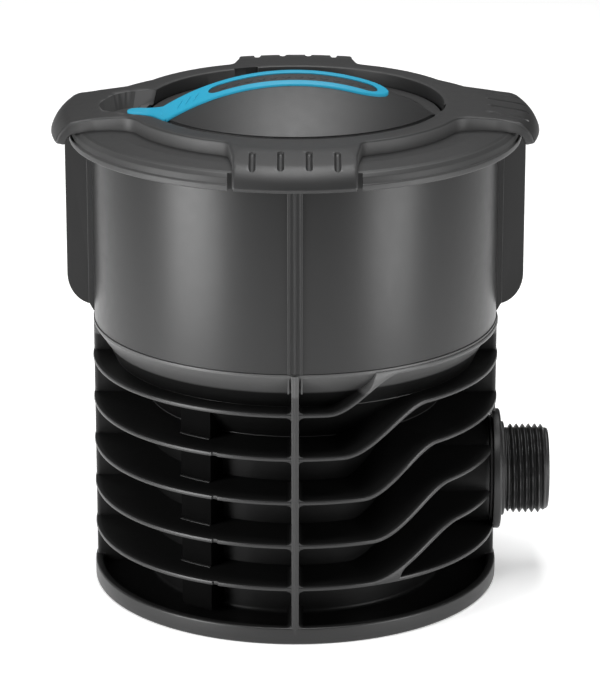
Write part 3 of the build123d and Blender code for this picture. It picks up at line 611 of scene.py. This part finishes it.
def build_shell():
    skin = Skin()
    skin.lathe(fillet_outline([
        (56.3, SEAM_Z + 0.02, 0.1), (SHELL_R, SEAM_Z + 0.02, 0.14), (SHELL_R, SHELL_TOP, 0.5),
        (56.3, SHELL_TOP, 0.3),
    ], 6), 256)
    for quarter in range(4):
        arc_band(skin, 53.2, 56.8, 124.0, 127.0, 15 + 90 * quarter, 20)
    settle(skin.build("upper_shell_wall", GREY), "box", ("upper_shell",))

    sides = Skin()
    for side in (1, -1):
        plan = [(57.6, 83.3)]
        plan += [(58.4 + 8.05 * sin(radians(a)), 92.7 - 9.4 * cos(radians(a))) for a in range(0, 91, 9)]
        plan += [(66.45, 133.3), (66.2, 133.55), (57.6, 133.55)]
        place = Matrix(((side, 0, 0, 0), (0, 0, 1, 0), (0, 1, 0, 0), (0, 0, 0, 1)))
        sides.slab(plan, -1.5, 1.5, place)
        root = [(57.4, 81.6), (58.9, 81.6), (60.3, 84.2), (60.3, 133.5), (57.4, 133.5)]
        sides.slab(root, -2.3, 2.3, place)
    wings = sides.build("shell_wings", WING, "box", ())
    bevel(wings, 0.45, 3, 40)

    rib = Skin()
    for turn in (0, 180):
        plan = fillet_outline([
            (-2.1, -58.3, 0), (-2.1, -59.45, 0.16), (-1.4, -59.45, 0.12), (-1.3, -58.95, 0.1),
            (-0.35, -58.95, 0.1), (-0.25, -59.4, 0.12), (0.25, -59.4, 0.12), (0.35, -58.95, 0.1),
            (1.3, -58.95, 0.1), (1.4, -59.45, 0.12), (2.1, -59.45, 0.16), (2.1, -58.3, 0),
        ], 3)
        rib.slab(plan, 80.8, 133.3, Matrix.Rotation(radians(turn), 4, "Z"))
    rib.build("shell_seam_ribs", GREY, "box", (), crease=50.0)


build_shell()


# ------------------------------------------------------------------ inlet


def thread_radius(x, angle):
    """Radius of the right-hand pipe thread, with rounded crests and fading ends."""
    share = ((x - 62.5) / THREAD_PITCH - angle / (2 * pi)) % 1.0
    rise = min(1.0, max(0.0, 1.25 * (1 - abs(2 * share - 1)) - 0.12))
    fade = min(1.0, max(0.0, (x - 62.2) / 1.0)) * min(1.0, max(0.0, (74.0 - x) / 1.3))
    return THREAD_ROOT + (THREAD_CREST - THREAD_ROOT) * rise * fade


def build_inlet():
    sideways = Matrix(((0, 0, 1, 0), (1, 0, 0, 0), (0, 1, 0, 0), (0, 0, 0, 1)))
    along = Matrix.Translation((0, 0, PORT_Z)) @ sideways
    head = fillet_outline([
        (NOZZLE_BORE, 24.2, 0.2), (12.9, 24.2, 0.5), (12.9, 58.05, 0), (17.8, 58.05, 0.3), (17.8, 60.55, 0.7),
        (13.95, 60.65, 0.4), (13.95, 61.7, 0.4), (THREAD_ROOT, 61.9, 0.2), (THREAD_ROOT, 62.4, 0),
        (NOZZLE_BORE, 62.4, 0),
    ])
    skin = Skin()
    skin.lathe(head, 128, along)
    stations = [62.2 + 0.12 * k for k in range(100)]
    sections = []
    for step in range(144):
        angle = 2 * pi * step / 144
        outline = [(NOZZLE_BORE, 62.2)] + [(thread_radius(x, angle), x) for x in stations]
        outline += [(THREAD_ROOT, 74.2), (11.75, 74.65), (11.5, 74.78), (10.2, 74.78), (9.85, 74.5)]
        outline += [(NOZZLE_BORE, 74.2)]
        section = [Vector((r * cos(angle), r * sin(angle), x)) for r, x in outline]
        sections.append([along @ q for q in section])
    skin.loop(sections)
    skin.build("inlet_nozzle", BLACK, "box", ("inlet_connector",), crease=40.0)


build_inlet()


# ------------------------------------------------------------------ lid plate, ring and arms

ARM_END_R = 70.35
SIDE_HALF = (18.9, 17.3)
FRONT_HALF = (18.5, 17.2)
ARM_WIDEN = 1.1


def build_lid_plate():
    skin = Skin()
    skin.lathe(fillet_outline([
        (46.2, 136.05, 0), (50.2, 136.05, 0), (50.2, 119.1, 0.3), (52.6, 119.1, 0.3), (52.6, 136.05, 0.4),
        (60.3, 136.05, 0.5), (61.0, 134.4, 0.3), (65.15, 134.4, 0.45), (65.15, 136.15, 0.4),
        (64.5, 136.35, 0.12),
        (64.15, 138.0, 0.9), (63.2, 138.9, 0.9), (62.0, 139.3, 1.6), (56.0, PLATE_TOP, 4.0),
        (46.2, PLATE_TOP, 0),
    ], 6), 256)
    plate = skin.build("lid_plate_moulding", PLATE, crease=30.0)
    tools = Skin()
    half = FRONT_HALF[1]
    for turn in (90, 270):
        place = Matrix.Rotation(radians(turn), 4, "Z")
        for side in (-1, 1):
            near, far = sorted((side * (half - 0.4), side * (half + 1.2)))
            start = sqrt(62.6 ** 2 - half ** 2)
            tools.slab([(start, near), (68, near), (68, far), (start, far)], 133.0, 141, place)
    tool = tools.build("plate_tool", LID)
    cut(plate, tool)
    applied(plate, 30.0, (tool,))
    bevel(plate, 0.18, 2, 45)
    lugs = Skin()
    for quarter in range(4):
        arc_band(lugs, 51.8, 55.8, 119.1, 122.5, 45 + 90 * quarter, 20)
    settle(plate, "lid", ("lid_plate",))
    bevel(lugs.build("lid_lugs", LID, "lid", ()), 0.4, 2)


def curl_table():
    """Top of an arm as (r, z) points with their running length: flat, then curling down."""
    points = [Vector(p) for p in ((0, RING_TOP), (53.2, RING_TOP), (55.2, 143.86), (64.6, 142.3))]
    ends = [Vector(p) for p in ((64.6, 142.3), (67.3, 141.85), (69.5, 139.7), (ARM_END_R, 136.15))]
    for step in range(1, 13):
        t = step / 12
        shares = ((1 - t) ** 3, 3 * t * (1 - t) ** 2, 3 * t * t * (1 - t), t ** 3)
        points.append(sum((end * share for end, share in zip(ends, shares)), Vector((0, 0))))
    lengths = [0.0]
    for one, two in zip(points, points[1:]):
        lengths.append(lengths[-1] + (two - one).length)
    return points, lengths


CURL, CURL_AT = curl_table()
CURL_END = CURL_AT[-1]


def on_curl(length):
    """Point and upward normal of the arm's top at a running length."""
    index = 0
    while index < len(CURL) - 2 and CURL_AT[index + 1] < length:
        index += 1
    along = (CURL[index + 1] - CURL[index]).normalized()
    point = CURL[index] + along * (length - CURL_AT[index])
    return point, Vector((-along.y, along.x))


def curl_point(x, y, drop):
    """Places a point of the unrolled plan on the curled top, drop millimetres under it."""
    point, normal = on_curl(hypot(x, y))
    point = point - normal * drop
    angle = atan2(y, x)
    return Vector((point.x * cos(angle), point.x * sin(angle), point.y))


def radius_at(length):
    return on_curl(length)[0].x


def side_point(length, half):
    """Where the side of an arm crosses a running length, in the unrolled plan."""
    angle = asin(half / radius_at(length))
    return length * cos(angle), length * sin(angle)


def lid_plan():
    """Unrolled plan of the lid's raised ring with its four arms, as rounded corners."""
    corners = []
    for quarter in range(4):
        if quarter % 2:
            halves, following, widen, root_round, waist_round = FRONT_HALF, SIDE_HALF, 0.0, 3.6, 0.0
        else:
            halves, following, widen, root_round, waist_round = SIDE_HALF, FRONT_HALF, ARM_WIDEN, 6.0, 7.0
        edge = [(RING_R, halves[0], root_round), (60.0, halves[1], waist_round)]
        edge += [
            (length, halves[1] + widen * smooth((length - 61) / 8), 0.0)
            for length in (62.5, 65.0, 67.5, 70.0, CURL_END - 2.4)
        ]
        edge += [(CURL_END, halves[1] + widen, 1.0)]
        up = [(*side_point(length, half), corner) for length, half, corner in edge]
        down = [(x, -y, corner) for x, y, corner in up]
        tip = degrees(atan2(up[-1][1], up[-1][0])) - 2.5
        end_angles = [radians(tip * (k - 7) / 7) for k in range(15)]
        arc = [(CURL_END * cos(a), CURL_END * sin(a), 0) for a in end_angles]
        local = down + arc + list(reversed(up))
        start = degrees(asin(halves[0] / RING_R)) + 9
        stop = 90 - degrees(asin(following[0] / RING_R)) - 9
        ring_angles = [radians(start + (stop - start) * k / 12) for k in range(13)]
        local += [(RING_R * cos(a), RING_R * sin(a), 0) for a in ring_angles]
        turn = radians(90 * quarter)
        corners += [(x * cos(turn) - y * sin(turn), x * sin(turn) + y * cos(turn), c) for x, y, c in local]
    return fillet_outline(corners, 6)


def under(length):
    """Thickness of the ring or arm at a running length."""
    thick = 3.85 + 0.45 * smooth((length - 46) / 2)
    return thick - 0.9 * smooth((length - 58) / 6) - 0.6 * smooth((length - 65) / 4)


def ring_sections():
    plan = lid_plan()
    levels = [45, 47.4, 50.2, 53, 54.6, 56.5, 59.5, 62.5, 64.8]
    levels += [65.6 + 0.72 * k for k in range(12)]
    edge = 0.75
    fillets = [(1.0, 0.0), (0.62, 0.075), (0.29, 0.29), (0.075, 0.62), (0.0, 1.0)]
    sections = []
    count = len(plan)
    for index, here in enumerate(plan):
        one = here - plan[index - 1]
        two = plan[(index + 1) % count] - here
        normal = Vector((one.y, -one.x)).normalized() + Vector((two.y, -two.x)).normalized()
        normal.normalize()
        inner = here - normal * edge
        unit = inner.normalized()
        section = [Vector((OPENING_R * unit.x, OPENING_R * unit.y, z)) for z in (140.1, 143.45)]
        section += [
            Vector((r * unit.x, r * unit.y, z)) for r, z in ((OPENING_R + 0.16, 143.82), (43.25, RING_TOP))
        ]
        reach = inner.length
        section += [curl_point(*(unit * min(level, reach)), 0.0) for level in levels]
        section += [curl_point(*(here - normal * edge * d), edge * drop) for d, drop in fillets]
        thick = under(here.length)
        lift = 0.25 * smooth((here.length - 60) / 4)
        section += [curl_point(*here, thick - lift), curl_point(*(here - normal * (0.02 + lift)), thick)]
        inward = [min(level, reach) for level in reversed(levels)]
        section += [curl_point(*(unit * level), under(level)) for level in inward]
        sections.append(section)
    return sections


def groove(skin, y, place):
    """Capsule that cuts one round-bottomed grip slot along an arm."""
    near, far, size = Vector((55.4, 143.75)), Vector((67.1, 141.65)), 1.0
    sections = []
    for step in range(25):
        share = (1 - cos(pi * step / 24)) / 2
        spot = near + (far - near) * share
        past = min((spot - near).length, (far - spot).length)
        across = size * (1.0 if past >= size else sqrt(max(0.0004, 1 - (1 - past / size) ** 2)))
        circle = [(across * cos(a * pi / 8), across * sin(a * pi / 8)) for a in range(16)]
        sections.append([place @ Vector((spot.x, y + u, spot.y + v)) for u, v in circle])
    skin.loop(sections, closed=False)


def build_lid_ring():
    skin = Skin()
    skin.loop(ring_sections())
    ring = skin.build("lid_ring_moulding", LID, crease=30.0)
    tools = Skin()
    for quarter in (0, 1, 3):
        for index in range(4):
            groove(tools, 7.75 * (index - 1.5), Matrix.Rotation(radians(90 * quarter), 4, "Z"))
    low = fillet_outline([
        (-34.8, -25.8, 0), (-40.9, -17.9, 3), (-47.4, -14.6, 8), (-53.4, -10.6, 5), (-55.4, -2.6, 7),
        (-50.0, 6.6, 12), (-40.4, 10.4, 0.6), (-34.8, 11.2, 0),
    ], 8)
    one = tools.ring([(q.x, q.y, 139.0) for q in low])
    two = tools.ring([
        (q.x - 1.6 * smooth((-44 - q.x) / 10), q.y + 4.4 * smooth((q.y + 6) / 14), 145.0) for q in low
    ])
    tools.bridge(one, two)
    tools.cap(one, flip=True)
    tools.cap(two)
    for third in range(3):
        arc_band(tools, 41.5, 43.4, 138, 145, -10 + 120 * third, 10, 4)
    tool = tools.build("ring_tool", LID)
    cut(ring, tool)
    applied(ring, 30.0, (tool,))
    bevel(ring, 0.14, 2, 50)
    settle(ring, "lid", ("lid_ring",))
    sleeve = Skin()
    sleeve.lathe(fillet_outline([
        (OPENING_R + 0.02, 138.1, 0), (43.55, 138.1, 0), (43.55, 140.3, 0), (45.6, 140.3, 0),
        (45.6, 130.5, 0.4), (39.2, 130.5, 0.4), (39.2, 133.0, 0.3), (OPENING_R + 0.02, 133.0, 0),
    ]), 192)
    sleeve.build("lid_sleeve", LID, "lid", ())


build_lid_plate()
build_lid_ring()


# ------------------------------------------------------------------ hatch


def dome(x, y, over=0.0):
    return DOME_Z + sqrt(max(0.0, (DOME_R + over) ** 2 - x * x - y * y))


def bowl(x, y):
    return BOWL_Z - sqrt(BOWL_R ** 2 - x * x - y * y)


def chord(radius, y):
    return sqrt(max(0.0, radius * radius - y * y))


def build_hatch():
    """Dome, rounded ridge and finger bowl as one skin, given its thickness afterwards."""
    columns = 72
    across = [cos(pi * (1 - k / columns)) for k in range(columns + 1)]
    rim, well = HATCH_R - 0.02, 38.0

    def row(half, y, height):
        return [Vector((u * half, y, height(u * half))) for u in across]

    rows = []
    front = [-HATCH_R * cos(radians(90 * k / 26)) for k in range(27)]
    for y in [v for v in front if v < RIDGE_Y - 1.6]:
        rows.append(row(chord(rim, y), y, lambda x: dome(x, y)))
    turn = 1.3
    wide = chord(rim, RIDGE_Y)
    for step in range(7):
        angle = radians(12 + (90 - 12) * step / 6)
        y = RIDGE_Y - turn * (1 - sin(angle))
        rows.append(row(wide, y, lambda x: dome(x, RIDGE_Y - turn) - turn * (1 - cos(angle))))
    rows.append(row(wide, RIDGE_Y, lambda x: NECK_TOP + 0.1))
    rows.append(row(chord(38.2, RIDGE_Y), RIDGE_Y, lambda x: NECK_TOP + 0.05))
    for depth, rise in ((0.0, 1.5), (0.2, 0.85), (0.7, 0.35), (1.5, 0.0)):
        y = RIDGE_Y + depth
        rows.append(row(chord(well, y), y, lambda x: min(NECK_TOP, bowl(x, y) + rise)))
    for step in range(1, 25):
        y = RIDGE_Y + 1.5 + (37.9 - RIDGE_Y - 1.5) * sin(radians(90 * step / 24))
        rows.append(row(chord(well, y), y, lambda x: min(NECK_TOP, bowl(x, y))))
    skin = Skin()
    rings = [skin.ring(row) for row in rows]
    for one, two in zip(rings, rings[1:]):
        skin.bridge(one, two, closed=False)
    cover = skin.build("hatch_dome", LID, crease=34.0)
    shell = cover.modifiers.new("shell", "SOLIDIFY")
    shell.thickness = 2.0 * MM
    shell.offset = -1
    applied(cover, 34.0)
    settle(cover, "hatch", ("hatch_cover",))

    neck = Skin()
    plan = fillet_outline([
        (38.6, 133.0, 0.3), (HATCH_R, 133.0, 0.3), (HATCH_R, 135.4, 0), (40.4, 135.4, 0), (40.4, 137.6, 0),
        (HATCH_R, 137.6, 0), (HATCH_R, NECK_TOP, 0.35), (37.4, NECK_TOP, 0.2), (37.6, 138.6, 0),
    ])
    neck.lathe(plan, 192)
    turned = asin(-RIDGE_Y / HATCH_R)
    angles = [pi + turned + (pi - 2 * turned) * k / 80 for k in range(81)]
    sections = []
    for a in angles:
        lip = [(HATCH_R, NECK_TOP - 0.5), (HATCH_R, 143.6), (HATCH_R - 0.2, 144.05), (HATCH_R - 0.6, 144.4),
               (HATCH_R - 2.6, 144.2), (HATCH_R - 2.6, NECK_TOP - 0.5)]
        sections.append([Vector((r * cos(a), r * sin(a), z)) for r, z in lip])
    neck.loop(sections, closed=False)
    for third in range(3):
        arc_band(neck, 41.6, 43.3, 138.4, 140.0, -10 + 120 * third, 8, 4)
    neck.build("hatch_neck", LID, "hatch", (), crease=36.0)


def dome_slab(skin, stations, low_edge, high_edge, low, high, edge, across=8):
    """A closed patch on the dome, between two edges given over x; heights count from the dome."""
    sections = []
    for x in stations:
        y0, y1 = low_edge(x), high_edge(x)
        soft = min(edge, (y1 - y0) * 0.3)
        corner = [(0.0, 1.0), (0.13, 0.5), (0.5, 0.13)]
        top = [(y0 + a * soft, high - b * soft) for a, b in corner]
        top += [(y0 + soft + (y1 - y0 - 2 * soft) * k / across, high) for k in range(across + 1)]
        top += [(y1 - a * soft, high - b * soft) for a, b in reversed(corner)]
        under_side = [(y1 + (y0 - y1) * k / across, low) for k in range(across + 1)]
        sections.append([Vector((x, y, dome(x, y, over))) for y, over in top + under_side])
    skin.loop(sections, closed=False)


def spaced(start, stop, step):
    count = max(2, int((stop - start) / step))
    return [start + (stop - start) * k / count for k in range(count + 1)]


def round_end(x, tip, radius, square):
    """Share of the half width at a rounded end: 1 away from it and 0 at its tip."""
    past = (x - (tip - radius)) / radius
    return 1.0 if past <= 0 else max(0.0, 1 - min(1.0, past) ** square) ** (1 / square)


def strip_low(x):
    left = -15.2 + (x + 40.0) * (-8.2 / 3.6)
    end = -18.6 - 4.6 * round_end(x, 26.3, 8.5, 2.0) + 0.6 * smooth((x - 15) / 11)
    return max(left, end)


def strip_high(x):
    return -17.8 + (17.8 + RIDGE_Y - 0.6) * round_end(x, 26.3, 5.5, 2.2)


INSET_START = -24.5
INSET_END = 23.2
INSET_Y = -19.3
INSET_HALF = 2.0


def inset_edges(shrink=0.0):
    """Front and rear edge of the strip's inset over x, with round ends."""
    def half(x):
        near = min(x - INSET_START, INSET_END - x) / 3.2
        share = 1.0 if near >= 1 else sqrt(max(0.0, 1 - (1 - near) ** 2))
        return max(0.02, (INSET_HALF - shrink) * share)

    return lambda x: INSET_Y - half(x), lambda x: INSET_Y + half(x)


def tick_edges(start):
    """Front and rear edge of a slanted tick that begins at start."""
    return lambda x: -20.9 + (x - start) * 2.0 - 0.35, lambda x: -20.9 + (x - start) * 2.0 + 0.35


def diamond_edges(middle):
    """Front and rear edge of a small diamond in the middle of the inset."""
    return lambda x: INSET_Y - 0.95 + abs(x - middle) * 0.7, lambda x: INSET_Y + 0.95 - abs(x - middle) * 0.7


def build_strip():
    stations = spaced(-38.0, -36.3, 0.34) + spaced(-35.8, 17.0, 0.8) + spaced(17.4, 26.28, 0.25)
    skin = Skin()
    dome_slab(skin, stations, strip_low, strip_high, -0.1, 0.62, 0.5)
    strip = skin.build("handle_strip", BLUE, crease=40.0)
    room = Skin()
    ends = (0, 8, 25, 60, 110, 180, 260)
    inset = [INSET_START + 0.01 * k for k in ends]
    inset += spaced(INSET_START + 3.3, INSET_END - 3.3, 0.8)
    inset += [INSET_END - 0.01 * k for k in reversed(ends)]
    dome_slab(room, inset, *inset_edges(), 0.3, 3.0, 0.0)
    tool = room.build("inset_tool", BLUE)
    cut(strip, tool)
    applied(strip, 40.0, (tool,))
    bevel(strip, 0.12, 2, 50)
    settle(strip, "hatch", ("hatch_handle",))

    marks = Skin()
    for x in (-33.2, -30.9, -28.6):
        dome_slab(marks, spaced(x, x + 1.3, 0.25), *tick_edges(x), 0.5, 0.74, 0.12, 3)
    # Each station of the pull tab: x, then y and z of its rear edge and of its front edge.
    tab = [
        (-36.6, -14.9, 146.4, -23.3, 144.5),
        (-37.3, -14.7, 146.2, -22.5, 144.45),
        (-38.5, -13.7, 145.75, -20.6, 144.35),
        (-39.7, -12.8, 145.4, -18.4, 144.3),
        (-40.9, -12.0, 145.1, -16.9, 144.25),
        (-42.6, -11.1, 144.85, -15.8, 144.2),
        (-44.4, -10.4, 144.7, -15.1, 144.15),
        (-46.4, -9.9, 144.45, -14.5, 144.1),
        (-47.2, -10.2, 144.3, -14.1, 144.1),
        (-47.7, -11.1, 144.2, -13.2, 144.1),
    ]
    thick = 1.5
    sections = []
    for x, y0, z0, y1, z1 in tab:
        sections.append([
            Vector((x, y0, z0 - thick)), Vector((x, y0 + 0.1, z0 - 0.3)), Vector((x, y0 - 0.25, z0)),
            Vector((x, (y0 + y1) / 2, (z0 + z1) / 2 - 0.15)),
            Vector((x, y1 + 0.3, z1)), Vector((x, y1 - 0.05, z1 - 0.3)), Vector((x, y1, z1 - thick)),
        ])
    marks.loop(sections, closed=False)
    details = marks.build("handle_tab", BLUE, "hatch", (), crease=40.0)
    bevel(details, 0.22, 2, 50)

    inlay = Skin()
    dome_slab(inlay, inset, *inset_edges(0.06), 0.25, 0.42, 0.08)
    for index in range(12):
        x = -20.2 + 3.55 * index
        stations = [x - 1.1, x - 0.35, x + 0.4, x + 1.15]
        dome_slab(inlay, stations, *diamond_edges(x), 0.36, 0.56, 0.1, 3)
    inlay.build("handle_inset", INLAY, "hatch", ("handle_inlay",), crease=40.0)


build_hatch()
build_strip()


# ------------------------------------------------------------------ stage, light and camera


def build_stage():
    floor = Skin()
    grid = 24
    reach = 2600.0
    steps = [reach * (2 * k / grid - 1) for k in range(grid + 1)]
    rows = [floor.ring([(x, y, -0.02) for x in steps]) for y in steps]
    for one, two in zip(rows, rows[1:]):
        floor.bridge(one, two, closed=False)
    material, tree, bsdf = node_material("pale_floor")
    place = linked(tree, "ShaderNodeTexCoord").outputs["Object"]
    tone = blend(tree, cloudy(tree, place, 6.0, 3.0), neutral(0.93), neutral(0.95))
    tree.links.new(tone, bsdf.inputs["Base Color"])
    bsdf.inputs["Roughness"].default_value = 0.7
    bsdf.inputs["Specular IOR Level"].default_value = 0.2
    tree.links.new(tone, bsdf.inputs["Emission Color"])
    bsdf.inputs["Emission Strength"].default_value = 0.33
    floor.build("floor", material)


def soft_light(name, azimuth, elevation, distance, size, power, target=(0, 0, 0.075)):
    """A soft box: azimuth 0 is in front of the box, positive towards the inlet."""
    lamp = bpy.data.lights.new(name, "AREA")
    lamp.shape = "RECTANGLE"
    lamp.size, lamp.size_y = size
    lamp.energy = power
    holder = bpy.data.objects.new(name, lamp)
    bpy.context.scene.collection.objects.link(holder)
    a, e = radians(azimuth), radians(elevation)
    spot_at = Vector(target) + distance * Vector((sin(a) * cos(e), -cos(a) * cos(e), sin(e)))
    holder.location = spot_at
    holder.rotation_euler = (Vector(target) - spot_at).to_track_quat("-Z", "Y").to_euler()


VIEW_ELEVATION = 18.091
VIEW_DISTANCE = 1.047642
VIEW_TARGET = (0.001372, 0.0, 0.068724)
VIEW_LENS = 183.317143


def build_view():
    elevation = radians(VIEW_ELEVATION)
    camera = bpy.data.cameras.new("camera")
    camera.sensor_fit = "AUTO"
    camera.sensor_width = 36.0
    camera.lens = VIEW_LENS
    camera.clip_start = 0.05
    camera.clip_end = 20.0
    holder = bpy.data.objects.new("camera", camera)
    bpy.context.scene.collection.objects.link(holder)
    holder.location = Vector(VIEW_TARGET) + VIEW_DISTANCE * Vector((0, -cos(elevation), sin(elevation)))
    holder.rotation_euler = (radians(90) - elevation, 0, 0)
    bpy.context.scene.camera = holder


build_stage()
soft_light("left_box", -58, 10, 1.0, (0.30, 0.9), 6.0)
soft_light("left_card", -53, 0, 0.3, (0.15, 0.13), 0.42, (0, 0, 0.068))
soft_light("right_box", 62, 8, 1.1, (0.26, 0.9), 3.0)
soft_light("right_card", 50, 0, 0.3, (0.12, 0.13), 0.28, (0, 0, 0.068))
soft_light("back_left_box", -140, 15, 1.2, (0.3, 0.9), 0.8)
soft_light("top_box", 178, 60, 1.3, (0.7, 0.5), 4.0)
soft_light("over_box", 0, 84, 1.0, (0.42, 0.85), 10.5)
world = bpy.data.worlds.new("studio")
bpy.context.scene.world = world
world.use_nodes = True
sky = world.node_tree.nodes["Background"]
sky.inputs["Color"].default_value = (1, 1, 1, 1)
seen = linked(world.node_tree, "ShaderNodeLightPath").outputs["Is Camera Ray"]
strength = ramp(world.node_tree, seen, 0.0, 1.0, 0.11, 0.98)
world.node_tree.links.new(strength, sky.inputs["Strength"])
bpy.context.scene.view_settings.view_transform = "Standard"
build_view()
